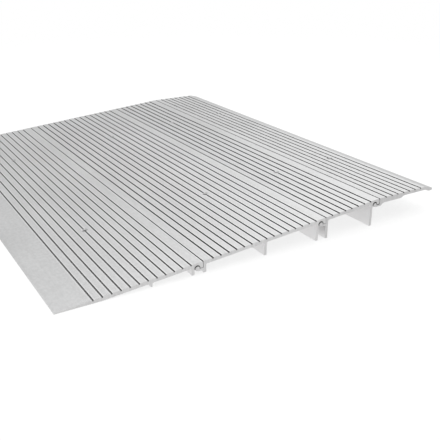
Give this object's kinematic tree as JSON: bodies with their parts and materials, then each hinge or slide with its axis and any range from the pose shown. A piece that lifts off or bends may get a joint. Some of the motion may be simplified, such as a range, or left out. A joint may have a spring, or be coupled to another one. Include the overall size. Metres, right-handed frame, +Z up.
{
  "type": "threshold ramp",
  "caption": "Aluminium threshold ramp: grooved tread extrusions on legs, hooked together at pivoting joints, with a level top plate that lies on the door sill.",
  "frame": {"origin": "centre of the ramp's footprint, on the floor", "axes": "+X up the ramp from the toe to the door sill, +Y across the doorway, +Z up"},
  "size_m": [0.7056, 0.864, 0.0467],
  "materials": {
    "aluminium": "mill-finish extruded aluminium with a satin sheen"
  },
  "bodies": {
    "toe": {"toe_panel": "aluminium"},
    "middle": {"middle_panel": "aluminium"},
    "upper": {"upper_panel": "aluminium"},
    "plate": {"top_plate": "aluminium"}
  },
  "joints": [
    {"name": "middle_hinge", "type": "hinge", "parent": "toe", "child": "middle", "pos_m": [-0.13452, 0, 0.00863], "axis": [0, -1, 0], "range_deg": [-70, 2.5]},
    {"name": "upper_hinge", "type": "hinge", "parent": "middle", "child": "upper", "pos_m": [0.09683, 0, 0.02714], "axis": [0, -1, 0], "range_deg": [-30, 2.5]},
    {"name": "plate_hinge", "type": "hinge", "parent": "upper", "child": "plate", "pos_m": [0.21409, 0, 0.03652], "axis": [0, -1, 0], "range_deg": [-85, 7]}
  ]
}
